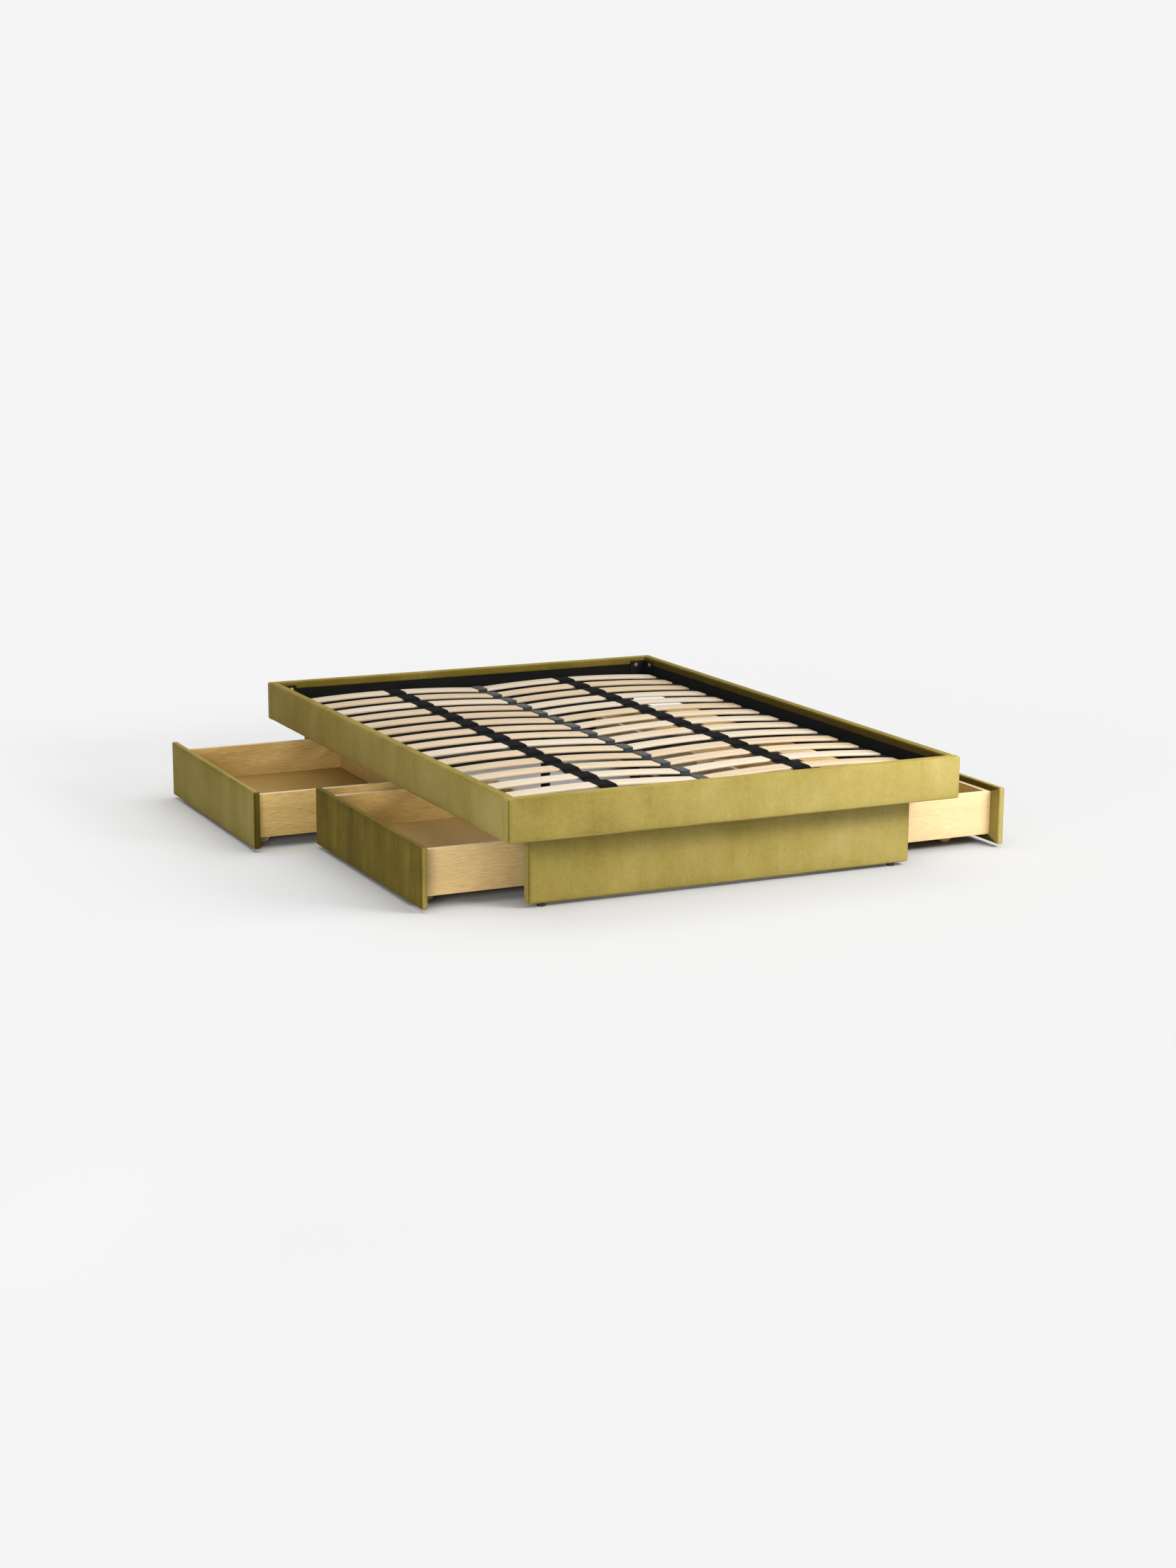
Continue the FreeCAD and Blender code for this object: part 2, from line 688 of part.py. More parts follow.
def castor_forks(name, x, y):
    """Four fixed castor forks under a drawer, each a bent plate with its axle pin."""
    body = new_body(name)
    fork_low = "(dims.wheel_radius - dims.fork_drop)"
    plate_under = f"({board_under} - dims.fork_plate)"
    inside = f"{fork_gap} / 2"
    outside = f"{fork_outer} / 2"
    bent_shape = [
        (f"-{outside}", fork_low),
        (f"-{inside}", fork_low),
        (f"-{inside}", plate_under),
        (inside, plate_under),
        (inside, fork_low),
        (outside, fork_low),
        (outside, board_under),
        (f"-{outside}", board_under),
    ]
    profile = outline(body, f"{name}_profile", "YZ_Plane", [bent_shape])
    bent = pad(body, f"{name}_bent", profile, "dims.fork_width", symmetric=True)
    pin_circle = new_sketch(body, f"{name}_pin_circle", "XZ_Plane")
    centre = FreeCAD.Vector(0, value("dims.wheel_radius"), 0)
    radius = value("dims.pin_radius")
    pin_circle.addGeometry(Part.Circle(centre, FreeCAD.Vector(0, 0, 1), radius), False)
    pin_circle.addConstraint(Sketcher.Constraint("PointOnObject", 0, 3, -2))
    axle_limit = Sketcher.Constraint("DistanceY", -1, 1, 0, 3, centre.y)
    bind(pin_circle, axle_limit, "axle_level", "dims.wheel_radius")
    bind(pin_circle, Sketcher.Constraint("Radius", 0, radius), "pin", "dims.pin_radius")
    pin = pad(body, f"{name}_pin", pin_circle, fork_outer, symmetric=True)
    row_of(body, f"{name}_row", [bent, pin], "X_Axis", "2", castor_span_x)
    row_of(body, f"{name}_rows", [], "Y_Axis", "2", castor_span_y)
    place(body, f"{x} - {castor_span_x} / 2 - dims.castor_shift", f"{y} - {castor_span_y} / 2", "0")
    return body


def wheel_pair(name, x, y):
    """Two coaxial wheels with rounded treads."""
    body = new_body(name)
    ring = new_sketch(body, f"{name}_ring", "XZ_Plane")
    for index, (label, formula) in enumerate(
        (("tread", "dims.wheel_radius"), ("bore", "dims.pin_radius + dims.pin_clearance"))
    ):
        radius = value(formula)
        ring.addGeometry(Part.Circle(FreeCAD.Vector(0, 0, 0), FreeCAD.Vector(0, 0, 1), radius), False)
        ring.addConstraint(Sketcher.Constraint("Coincident", index, 3, -1, 1))
        bind(ring, Sketcher.Constraint("Radius", index, radius), label, formula)
    wheel = pad(body, f"{name}_wheel", ring, "dims.wheel_width", symmetric=True)
    bore_limit = value("(dims.wheel_radius + dims.pin_radius) / 2")
    rim = round_edges(
        body, f"{name}_rim", wheel, "dims.wheel_round", lambda edge: edge.BoundBox.XLength / 2 > bore_limit
    )
    row_of(body, f"{name}_row", [wheel, rim], "Y_Axis", "2", castor_span_y)
    place(body, f"{x} - dims.castor_shift", f"{y} - {castor_span_y} / 2", "dims.wheel_radius")
    return body


def drawer(name, side, y, stay):
    """One drawer: upholstered front, box and castors, drawn out until its box reaches in only by stay."""
    opening = f"({plinth_half_width} - dims.back_gap - {stay})"

    def out(depth):
        return f"{side} * ({depth} + {opening})"

    front_x = out(front_middle)
    inner_front = f"{front_length} - 2 * dims.cover"
    core_size = ("dims.front_core", inner_front, f"{front_height} - 2 * dims.cover")
    board = block(f"{name}_front_board", core_size, (front_x, y), "dims.front_floor_gap + dims.cover")
    outside = padded_block(
        f"{name}_front_outside",
        (front_thick, front_length, front_height),
        (front_x, y),
        "dims.front_floor_gap",
        every_edge,
    )
    window = block(
        f"{name}_front_window",
        (window_depth, f"{front_length} - 2 * dims.front_lip", f"{front_height} - 2 * dims.front_lip"),
        (out(f"{front_back} + dims.cover / 2 - dims.overrun / 2"), y),
        "dims.front_floor_gap + dims.front_lip",
    )
    shell = cut(f"{name}_front_shell", outside, board)
    node(board, f"{name}_front_board")
    node(cut(f"{name}_front_cover", shell, window), f"{name}_front_cover")

    # The box's end walls run between its sides, and the bottom board lies within all four
    inner_length = f"({box_length} - 2 * dims.box_wall)"
    sides = []
    ends = []
    for number, way in enumerate((-1, 1)):
        wall_y = f"{y} + {way} * ({box_length} / 2 - dims.box_wall / 2)"
        side_size = (box_depth, "dims.box_wall", box_height)
        sides.append(block(f"{name}_box_side_{number}", side_size, (out(box_middle), wall_y), box_under))
        wall_x = out(f"{box_middle} + {way} * ({box_depth} / 2 - dims.box_wall / 2)")
        end_size = ("dims.box_wall", inner_length, box_height)
        ends.append(block(f"{name}_box_end_{number}", end_size, (wall_x, y), box_under))
    node(group(f"{name}_box_sides", sides), f"{name}_box_sides")
    node(group(f"{name}_box_ends", ends), f"{name}_box_ends")
    bottom_size = (f"{box_depth} - 2 * dims.box_wall", inner_length, "dims.bottom_thick")
    node(block(f"{name}_bottom", bottom_size, (out(box_middle), y), board_under), f"{name}_bottom")

    node(castor_forks(f"{name}_castors", out(box_middle), y), f"{name}_castors")
    for place_name, way in (("front", 1), ("rear", -1)):
        wheel_x = out(f"{box_middle} + {way} * {castor_span_x} / 2")
        node(wheel_pair(f"{name}_{place_name}_wheels", wheel_x, y), f"{name}_{place_name}_wheels")


foot_drawer_y = f"({plinth_middle_y} - ({front_length} + dims.front_gap) / 2)"
head_drawer_y = f"({plinth_middle_y} + ({front_length} + dims.front_gap) / 2)"
drawer("drawer_left_foot", -1, foot_drawer_y, "dims.stay_left_foot")
drawer("drawer_left_head", -1, head_drawer_y, "dims.stay_left_head")
drawer("drawer_right_foot", 1, foot_drawer_y, "dims.stay_right_foot")
drawer("drawer_right_head", 1, head_drawer_y, "dims.stay_right_head")

doc.recompute()
for piece in doc.Objects:
    if "Invalid" in piece.State or "Error" in piece.State:
        raise RuntimeError(f"{piece.Name} failed: {piece.State}")
for piece in nodes:
    if piece.Shape.isNull() or not piece.Shape.isValid():
        raise RuntimeError(f"{piece.Label} has no valid shape")

os.makedirs("parts", exist_ok=True)
for piece in nodes:
    piece.Shape.exportStep(f"parts/{piece.Label}.step")
    box = piece.Shape.BoundBox
    extents = f"{box.XLength:.1f} by {box.YLength:.1f} by {box.ZLength:.1f} mm"
    print(f"{piece.Label}: {len(piece.Shape.Solids)} solids, {piece.Shape.Volume:.0f} mm3, {extents}")
print(f"{len(nodes)} pieces")
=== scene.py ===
import json
import math

import bmesh
import bpy
import numpy as np
from mathutils import Matrix, Vector


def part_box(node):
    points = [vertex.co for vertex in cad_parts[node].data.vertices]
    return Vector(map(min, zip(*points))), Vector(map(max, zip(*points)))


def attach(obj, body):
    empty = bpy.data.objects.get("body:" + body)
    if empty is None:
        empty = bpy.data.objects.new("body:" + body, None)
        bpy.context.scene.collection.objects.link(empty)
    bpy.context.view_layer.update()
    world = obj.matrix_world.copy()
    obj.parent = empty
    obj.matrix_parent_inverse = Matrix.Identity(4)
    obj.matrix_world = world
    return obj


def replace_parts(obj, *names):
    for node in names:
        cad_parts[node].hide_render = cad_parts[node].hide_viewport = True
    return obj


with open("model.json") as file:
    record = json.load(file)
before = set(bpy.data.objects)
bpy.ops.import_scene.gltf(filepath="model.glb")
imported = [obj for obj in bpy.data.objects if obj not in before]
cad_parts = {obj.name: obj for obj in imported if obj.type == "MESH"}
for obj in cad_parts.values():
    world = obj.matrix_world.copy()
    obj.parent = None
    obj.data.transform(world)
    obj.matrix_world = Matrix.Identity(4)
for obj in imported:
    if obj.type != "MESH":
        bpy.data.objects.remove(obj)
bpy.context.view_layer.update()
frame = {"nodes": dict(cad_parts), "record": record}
nodes = frame["nodes"]
scene = bpy.context.scene
scene.view_settings.view_transform = "Standard"
print("frame loaded:", len(nodes), "nodes")

# camera: yaw from +Y towards +X, pitch downwards, roll about the view line, focal length in photo pixels
photoView = {
    "place": (-3.54379, -7.40798, 1.88758),
    "yaw": 0.44604,
    "pitch": 0.21127,
    "roll": 0.00573,
    "focalPixels": 3599.96,
    "tallPixels": 2212,
    "sensor": 36,
}


def makeCamera(view):
    yaw, pitch, roll = view["yaw"], view["pitch"], view["roll"]
    ahead = Vector((math.sin(yaw) * math.cos(pitch), math.cos(yaw) * math.cos(pitch), -math.sin(pitch)))
    level = Vector((math.cos(yaw), -math.sin(yaw), 0))
    above = level.cross(ahead)
    right = level * math.cos(roll) + above * math.sin(roll)
    up = above * math.cos(roll) - level * math.sin(roll)
    data = bpy.data.cameras.new("photoCamera")
    data.sensor_width = view["sensor"]
    data.lens = view["focalPixels"] / view["tallPixels"] * view["sensor"]
    camera = bpy.data.objects.new("photoCamera", data)
    turn = Matrix((right, up, -ahead)).transposed().to_4x4()
    camera.matrix_world = Matrix.Translation(view["place"]) @ turn
    scene.collection.objects.link(camera)
    scene.camera = camera


makeCamera(photoView)
print("camera set")


# shader maths: a wrapped socket adds Math nodes for the operators used on it
class Wire:
    def __init__(self, finish, socket):
        self.finish, self.socket = finish, socket

    def math(self, operation, first, second):
        return self.finish.add("ShaderNodeMath", {"operation": operation}, {0: first, 1: second})

    def __add__(self, other):
        return self.math("ADD", self, other)

    def __radd__(self, other):
        return self.math("ADD", other, self)

    def __sub__(self, other):
        return self.math("SUBTRACT", self, other)

    def __rsub__(self, other):
        return self.math("SUBTRACT", other, self)

    def __mul__(self, other):
        return self.math("MULTIPLY", self, other)

    def __truediv__(self, other):
        return self.math("DIVIDE", self, other)


class Finish:
    def __init__(self, name, tree=None):
        if tree is None:
            self.material = bpy.data.materials.new(name)
            self.material.use_nodes = True
            tree = self.material.node_tree
        tree.nodes.clear()
        self.tree = tree

    # any node: its type, its settings, then the values or links of its sockets
    def add(self, kind, settings, sockets, out=0):
        node = self.tree.nodes.new(kind)
        for key, value in settings.items():
            if key == "stops":
                while len(node.color_ramp.elements) < len(value):
                    node.color_ramp.elements.new(1)
                for element, (place, colour) in zip(node.color_ramp.elements, value):
                    element.position = place
                    element.color = (*colour, 1)
            else:
                setattr(node, key, value)
        for key, value in sockets.items():
            if isinstance(value, Wire):
                self.tree.links.new(value.socket, node.inputs[key])
            else:
                node.inputs[key].default_value = value
        return Wire(self, node.outputs[out]) if node.outputs else node

    def coordinates(self, kind="Object"):
        return self.add("ShaderNodeTexCoord", {}, {}, kind)

    def stretched(self, vector, scale):
        return self.add("ShaderNodeMapping", {}, {"Vector": vector, "Scale": scale})

    def noise(self, vector, scale=1.0, detail=2.0, rough=0.5, bend=0.0):
        sockets = {"Vector": vector, "Scale": scale, "Detail": detail, "Roughness": rough, "Distortion": bend}
        return self.add("ShaderNodeTexNoise", {}, sockets)

    def vector(self, operation, first, second, out="Value"):
        return self.add("ShaderNodeVectorMath", {"operation": operation}, {0: first, 1: second}, out)

    def attribute(self, name):
        return self.add("ShaderNodeAttribute", {"attribute_name": name}, {}, "Fac")

    def ramp(self, value, stops):
        return self.add("ShaderNodeValToRGB", {"stops": stops}, {"Fac": value})

    def blend(self, share, first, second):
        return self.add("ShaderNodeMix", {"data_type": "RGBA"}, {0: share, 6: first, 7: second}, 2)

    def highest(self, first, second):
        return self.add("ShaderNodeMath", {"operation": "MAXIMUM"}, {0: first, 1: second})

    def smooth(self, value, low, high):
        sockets = {"Value": value, "From Min": low, "From Max": high}
        return self.add("ShaderNodeMapRange", {"interpolation_type": "SMOOTHSTEP"}, sockets)

    def bump(self, height, depth, strength):
        return self.add("ShaderNodeBump", {}, {"Height": height, "Distance": depth, "Strength": strength})

    # 1 for the camera's rays and for mirrored or passed-on ones
    def straight(self):
        path = self.add("ShaderNodeLightPath", {}, {}, "Is Camera Ray")
        node = path.socket.node
        return path + Wire(self, node.outputs["Is Glossy Ray"]) + Wire(self, node.outputs["Is Transmission Ray"])

    def surface(self, **sockets):
        named = {key.replace("_", " "): value for key, value in sockets.items()}
        shader = self.add("ShaderNodeBsdfPrincipled", {}, named)
        self.add("ShaderNodeOutputMaterial", {}, {"Surface": shader})
        return self.material


# finishes: noise scales and stretches are cells per metre, fewer of them along the pile or the grain
def velvetFinish():
    f = Finish("oliveVelvet")
    cloth = f.coordinates("UV")
    patches = f.noise(cloth, 4.5, 3, 0.55, 0.4)  # soft hand-brushed patches, about 20 cm
    brushed = f.noise(f.stretched(cloth, (15, 1.6, 1)), 1.0, 2, 0.5, 0.2)  # upright nap streaks
    pressed = f.noise(f.stretched(cloth, (8, 1.3, 1)), 1.0, 3, 0.55, 0.5)  # its level lines are thin upright marks
    mottle = f.noise(cloth, 85, 3, 0.6)  # pile tufts pressed together
    scuffs = f.noise(f.stretched(cloth, (70, 26, 1)), 1.0, 3, 0.65)  # short upright brush strokes
    pile = f.noise(cloth, 900, 2, 0.6)  # single tufts
    marks = f.smooth((pressed - 0.5) * (pressed - 0.5), 0.0008, 0.0)
    mitre = f.smooth(f.attribute("mitre"), -0.0008, 0.0008)
    # the pile tones read here hold painted light and shade as well as the pile's own tones
    shade = (
        f.attribute("nap")
        + f.attribute("fold") * mitre
        + (patches - 0.5) * 0.30
        + ((brushed - 0.5) - marks * 0.10) * f.attribute("streak")
        + (mottle - 0.5) * 0.14
        + (scuffs - 0.5) * 0.08
    )
    colour = f.ramp(shade, [
        (0.0, (0.052, 0.037, 0.004)),
        (0.28, (0.150, 0.109, 0.014)),
        (0.5, (0.305, 0.238, 0.062)),
        (0.75, (0.450, 0.370, 0.150)),
        (1.0, (0.600, 0.510, 0.250)),
    ])
    return f.surface(
        Base_Color=colour, Roughness=0.92 - (pile - 0.5) * 0.15, Normal=f.bump(pile + mottle * 0.6, 0.0006, 0.5),
        Specular_IOR_Level=0.08, Sheen_Weight=0.16, Sheen_Roughness=0.42, Sheen_Tint=(0.80, 0.66, 0.24, 1),
    )


def oakFinish():
    f = Finish("oakEffectBoard")
    board = f.coordinates("UV")
    pores = f.noise(f.stretched(board, (26, 300, 1)), 1.0, 3, 0.6, 0.3)
    figure = f.noise(f.stretched(board, (1.6, 22, 1)), 1.0, 3, 0.55, 1.1)
    lines = f.add("ShaderNodeTexWave", {"wave_type": "BANDS", "bands_direction": "Y"}, {
        "Vector": f.stretched(board, (7, 66, 1)), "Scale": 1.0, "Distortion": 7.0,
        "Detail": 3.0, "Detail Scale": 1.3,
    }, "Fac")  # wavy grain lines, about 5 mm apart
    clouds = f.noise(board, 5, 2)
    grain = pores * 0.58 + lines * 0.16 + figure * 0.26
    colour = f.ramp(grain, [
        (0.32, (0.430, 0.248, 0.060)),
        (0.44, (0.605, 0.392, 0.115)),
        (0.55, (0.715, 0.498, 0.180)),
        (0.70, (0.800, 0.605, 0.275)),
    ])
    warmed = f.blend(f.smooth(clouds, 0.35, 0.75) * 0.25, colour, (0.62, 0.41, 0.17, 1))
    paled = f.blend(f.attribute("pale"), warmed, (0.80, 0.595, 0.40, 1))  # painted light: outer faces are paled where the lamp lights the boxes most
    banded = f.blend(f.attribute("band"), paled, (0.68, 0.54, 0.33, 1))  # paler edge band
    inset = f.blend(f.attribute("inset"), banded, (0.25, 0.140, 0.022, 1))  # browner floor board, partly its own tone and partly painted shade; painted shade on the faces inside the boxes
    return f.surface(
        Base_Color=inset, Roughness=0.46 + (pores - 0.5) * 0.25, Normal=f.bump(pores, 0.0004, 0.35),
        Specular_IOR_Level=0.35,
    )


def birchFinish():
    f = Finish("birchPlywood")
    slat = f.coordinates("UV")
    fibre = f.noise(f.stretched(slat, (5, 150, 1)), 1.0, 4, 0.6, 0.3)
    flame = f.noise(f.stretched(slat, (2.4, 24, 1)), 1.0, 2, 0.5, 1.4)
    fleck = f.smooth(f.noise(f.stretched(slat, (14, 60, 1)), 1.0, 2, 0.5), 0.70, 0.78)
    grain = fibre * 0.42 + flame * 0.34 + f.attribute("tint") * 0.24
    colour = f.ramp(grain, [
        (0.28, (0.470, 0.335, 0.190)),
        (0.45, (0.580, 0.445, 0.280)),
        (0.62, (0.645, 0.510, 0.338)),
        (0.80, (0.710, 0.585, 0.420)),
    ])
    greyer = f.smooth(f.attribute("tint"), 0.45, 0.85) * 0.5  # some slats are greyer: partly the wood's own tone, partly a painted sky reflection
    cooled = f.blend(greyer, colour, (0.62, 0.55, 0.45, 1))
    flecked = f.blend(fleck * 0.35, cooled, (0.55, 0.40, 0.25, 1))
    # ply lines on the sawn edges
    layered = f.blend(f.attribute("ply") * 0.55, flecked, (0.60, 0.46, 0.30, 1))
    return f.surface(
        Base_Color=layered, Roughness=0.42 + (fibre - 0.5) * 0.3, Normal=f.bump(fibre, 0.0003, 0.3),
        Specular_IOR_Level=0.28, Coat_Weight=0.03, Coat_Roughness=0.35,
    )


def webbingFinish():
    f = Finish("blackWebbing")
    tape = f.coordinates("UV")
    ribs = f.add("ShaderNodeTexWave", {"wave_type": "BANDS", "bands_direction": "X"},
                 {"Vector": tape, "Scale": 130.0, "Distortion": 0.6, "Detail": 1.0}, "Fac")
    yarns = f.add("ShaderNodeTexWave", {"wave_type": "BANDS", "bands_direction": "Y"},
                  {"Vector": tape, "Scale": 90.0, "Distortion": 0.4, "Detail": 1.0}, "Fac")
    lint = f.noise(tape, 60, 3)
    weave = ribs * yarns
    shade = weave * 0.6 + lint * 0.4
    colour = f.ramp(shade, [(0.1, (0.0015, 0.0015, 0.0015)), (0.8, (0.006, 0.0058, 0.0055))])
    return f.surface(
        Base_Color=colour, Roughness=0.9 - weave * 0.2, Normal=f.bump(weave, 0.0005, 0.5), Specular_IOR_Level=0.05,
    )


def liningFinish():
    f = Finish("blackLining")
    cloth = f.coordinates("UV")
    felt = f.noise(cloth, 340, 4, 0.7)
    creases = f.noise(f.stretched(cloth, (9, 26, 1)), 1.0, 3, 0.55, 0.8)
    shade = felt * 0.5 + creases * 0.5
    colour = f.ramp(shade, [(0.25, (0.003, 0.003, 0.003)), (0.75, (0.011, 0.0105, 0.010))])
    # painted shade on the lining strips marked for it
    dimmed = f.blend(f.attribute("dim"), colour, (0.0012, 0.0012, 0.0011, 1))
    return f.surface(
        Base_Color=dimmed, Roughness=0.93 - felt * 0.1, Normal=f.bump(felt * 0.5 + creases, 0.0012, 0.4),
        Specular_IOR_Level=0.1, Sheen_Weight=0.02, Sheen_Roughness=0.5,
    )


def mouldingFinish(name, dark, pale, rough, fineness, gloss=0.45):
    f = Finish(name)
    place = f.coordinates()
    texture = f.noise(place, fineness, 3, 0.6)
    scuffs = f.noise(place, 38, 4, 0.65)
    colour = f.ramp(texture * 0.45 + scuffs * 0.55, [(0.3, dark), (0.7, pale)])
    return f.surface(
        Base_Color=colour, Roughness=rough + (scuffs - 0.5) * 0.25, Normal=f.bump(texture, 0.0003, 0.35),
        Specular_IOR_Level=gloss,
    )


def metalFinish(name, dark, pale, rough, brushing):
    f = Finish(name)
    place = f.coordinates()
    lines = f.noise(f.stretched(place, brushing), 1.0, 3, 0.6)
    stains = f.noise(place, 55, 3, 0.6)
    colour = f.ramp(lines * 0.4 + stains * 0.6, [(0.3, dark), (0.7, pale)])
    return f.surface(
        Base_Color=colour, Metallic=1.0, Roughness=rough + (lines - 0.5) * 0.2, Normal=f.bump(lines, 0.0002, 0.2),
    )


def timberFinish(name, dark, pale, rough):
    f = Finish(name)
    place = f.coordinates()
    rings = f.noise(f.stretched(place, (7, 7, 60)), 1.0, 4, 0.6, 0.8)
    fibre = f.noise(f.stretched(place, (30, 30, 340)), 1.0, 3, 0.6)
    colour = f.ramp(rings * 0.65 + fibre * 0.35, [(0.32, dark), (0.66, pale)])
    return f.surface(
        Base_Color=colour, Roughness=rough + (fibre - 0.5) * 0.2, Normal=f.bump(fibre, 0.0004, 0.4),
        Specular_IOR_Level=0.3,
    )


velvet = velvetFinish()
oak = oakFinish()
birch = birchFinish()
webbing = webbingFinish()
lining = liningFinish()
holderPlastic = mouldingFinish(
    "greyHolderMoulding", (0.018, 0.019, 0.020), (0.034, 0.035, 0.036), 0.55, 900, 0.3,
)
cadFinishes = {
    "timber": timberFinish("pineBoard", (0.44, 0.29, 0.15), (0.66, 0.50, 0.31), 0.6),
    "black_wood": timberFinish("blackStainedWood", (0.006, 0.006, 0.006), (0.020, 0.019, 0.018), 0.55),
    "black_steel": mouldingFinish("blackPowderCoat", (0.004,) * 3, (0.010,) * 3, 0.6, 1400, 0.12),
    "bolt_zinc": metalFinish("yellowZinc", (0.52, 0.36, 0.13), (0.78, 0.62, 0.32), 0.32, (300, 300, 40)),
    "castor_steel": metalFinish("zincPlate", (0.42, 0.42, 0.41), (0.66, 0.66, 0.64), 0.36, (60, 400, 400)),
    "black_plastic": mouldingFinish("blackMoulding", (0.008, 0.008, 0.009), (0.022, 0.022, 0.023), 0.45, 1100),
    "nylon": mouldingFinish("naturalNylon", (0.68, 0.51, 0.31), (0.84, 0.68, 0.46), 0.42, 700),
}
for part in frame["record"]["subparts"]:
    finish = cadFinishes.get(part["material_slot"])
    if finish is not None:
        for holder in nodes[part["node"]].material_slots:
            holder.material = finish
print("finishes made")


# rounded slab: one parameter goes round a rounded section, the other along the length; at each end the section
# draws in on a quarter circle and closes on its middle line. Local axes: thickness, height, length.
def slab(size, edge, pitch, across=(), along=(), arcSteps=4, flatSteps=4, tip=None):
    thick, tall, long = size
    tip = edge if tip is None else tip  # radius of the end's rim
    inA, inB, inC = thick / 2 - edge, tall / 2 - edge, long / 2 - tip
    even = np.linspace(-inB, inB, max(2, round(tall / pitch)))
    rise = np.unique(np.concatenate([even, np.array(across, float)]))
    flat = np.linspace(inA, -inA, flatSteps)
    quarter = math.pi / 2
    turn = np.linspace(0, quarter, arcSteps + 2)[1:-1]

    def run(a, b, outA, outB):
        a, b = np.broadcast_arrays(a, b)
        return np.stack([a, b, np.full(a.shape, outA), np.full(a.shape, outB)])

    def corner(a, b, start):
        angle = turn + start
        return np.stack([np.full(turn.shape, a), np.full(turn.shape, b), np.cos(angle), np.sin(angle)])

    baseA, baseB, outA, outB = np.concatenate([
        run(inA, rise, 1, 0), corner(inA, inB, 0), run(flat, inB, 0, 1), corner(-inA, inB, quarter),
        run(-inA, rise[::-1], -1, 0), corner(-inA, -inB, 2 * quarter), run(flat[::-1], -inB, 0, -1),
        corner(inA, -inB, 3 * quarter),
    ], axis=1)
    even = np.linspace(-inC, inC, max(2, round(long / pitch)))
    body = np.unique(np.concatenate([even, np.array(along, float)]))
    lift = np.linspace(0, quarter, arcSteps + 2)[1:]
    closing = np.array([0.6, 0.25, 0.0])  # share of the thickness kept by the last rows
    last = len(closing)
    tipC = np.concatenate([inC + tip * np.sin(lift), np.full(last, inC + tip)])
    tipIn = np.concatenate([tip * (1 - np.cos(lift)), np.full(last, tip)])
    tipKeep = np.concatenate([np.ones(len(lift)), closing])
    tipTilt = np.concatenate([lift, np.full(last, quarter)])
    tipU = np.concatenate([inC + tip * lift, inC + tip * quarter + inA * (1 - closing)])
    place = np.concatenate([-tipC[::-1], body, tipC])[:, None]
    drawn = np.concatenate([tipIn[::-1], 0 * body, tipIn])[:, None]
    keep = np.concatenate([tipKeep[::-1], 0 * body + 1, tipKeep])[:, None]
    tilt = np.concatenate([-tipTilt[::-1], 0 * body, tipTilt])[:, None]
    a = (baseA + outA * (edge - drawn)) * keep
    b = baseB + outB * (edge - drawn)
    c = np.broadcast_to(place, a.shape)
    normal = np.stack([outA * np.cos(tilt), outB * np.cos(tilt), np.broadcast_to(np.sin(tilt), a.shape)], 2)
    runA = np.diff(baseA + outA * edge, append=inA + edge)
    runB = np.diff(baseB + outB * edge, append=-inB)
    runs = np.hypot(runA, runB)
    around = np.concatenate([[0], np.cumsum(runs)])
    u = np.concatenate([-tipU[::-1], body, tipU])
    uv = np.stack(np.meshgrid(u, around, indexing="ij"), 2)
    return {"points": np.stack([a, b, c], 2), "normal": normal, "uv": uv}


# puts a slab's local axes along the given world axes
def placed(grid, centre, axes, uvShift=(0, 0), **extra):
    axes = np.array(axes, float)
    return {
        "points": grid["points"] @ axes + np.array(centre),
        "uv": grid["uv"] + np.array(uvShift),
        "mirrored": np.linalg.det(axes) < 0,
        "extra": {name: np.broadcast_to(value, grid["points"].shape[:2]) for name, value in extra.items()},
    }


weld = 2e-6  # points nearer than this are merged


# one mesh from grids that close round their section; rows that meet on a line are merged
def meshFrom(name, grids, material):
    points, faces, uvs, extras, count = [], [], [], {}, 0
    for grid in grids:
        rows, cols = grid["points"].shape[:2]
        row, col = np.meshgrid(np.arange(rows - 1), np.arange(cols), indexing="ij")
        ring = [(row, col), (row, col + 1), (row + 1, col + 1), (row + 1, col)]
        if grid["mirrored"]:
            ring.reverse()
        faces.append(np.stack([count + r * cols + c % cols for r, c in ring], 2).reshape(-1, 4))
        uvs.append(np.stack([grid["uv"][r, c] for r, c in ring], 2).reshape(-1, 2))
        points.append(grid["points"].reshape(-1, 3))
        for key, value in grid["extra"].items():
            extras.setdefault(key, []).append(value.reshape(-1))
        count += rows * cols
    mesh = bpy.data.meshes.new(name)
    mesh.from_pydata(np.concatenate(points).tolist(), [], np.concatenate(faces).tolist())
    mesh.uv_layers.new(name="lay").data.foreach_set("uv", np.concatenate(uvs).astype(np.float32).ravel())
    for key, value in extras.items():
        layer = mesh.attributes.new(key, "FLOAT", "POINT")
        layer.data.foreach_set("value", np.concatenate(value).astype(np.float32))
    shape = bmesh.new()
    shape.from_mesh(mesh)
    bmesh.ops.remove_doubles(shape, verts=shape.verts, dist=weld)
    bmesh.ops.dissolve_degenerate(shape, dist=weld, edges=shape.edges)
    shape.to_mesh(mesh)
    shape.free()
    mesh.polygons.foreach_set("use_smooth", np.ones(len(mesh.polygons), bool))
    mesh.materials.append(material)
    piece = bpy.data.objects.new(name, mesh)
    scene.collection.objects.link(piece)
    return piece


# gentle unevenness: a few crossing waves with fixed phases, lengths in metres
def ripple(u, v, seed, shortest, longest, count=7):
    chance = np.random.default_rng(seed)
    angle, phase = chance.uniform(0, 2 * math.pi, (2, count))
    length = chance.uniform(shortest, longest, count)
    waves = [
        np.sin(2 * math.pi * (u * math.cos(t) + v * math.sin(t)) / w + p)
        for t, p, w in zip(angle, phase, length)
    ]
    return sum(waves) / count


# smooth step: 0 below low, 1 above high
def step(value, low, high):
    share = np.clip((value - low) / (high - low), 0, 1)
    return share * share * (3 - 2 * share)


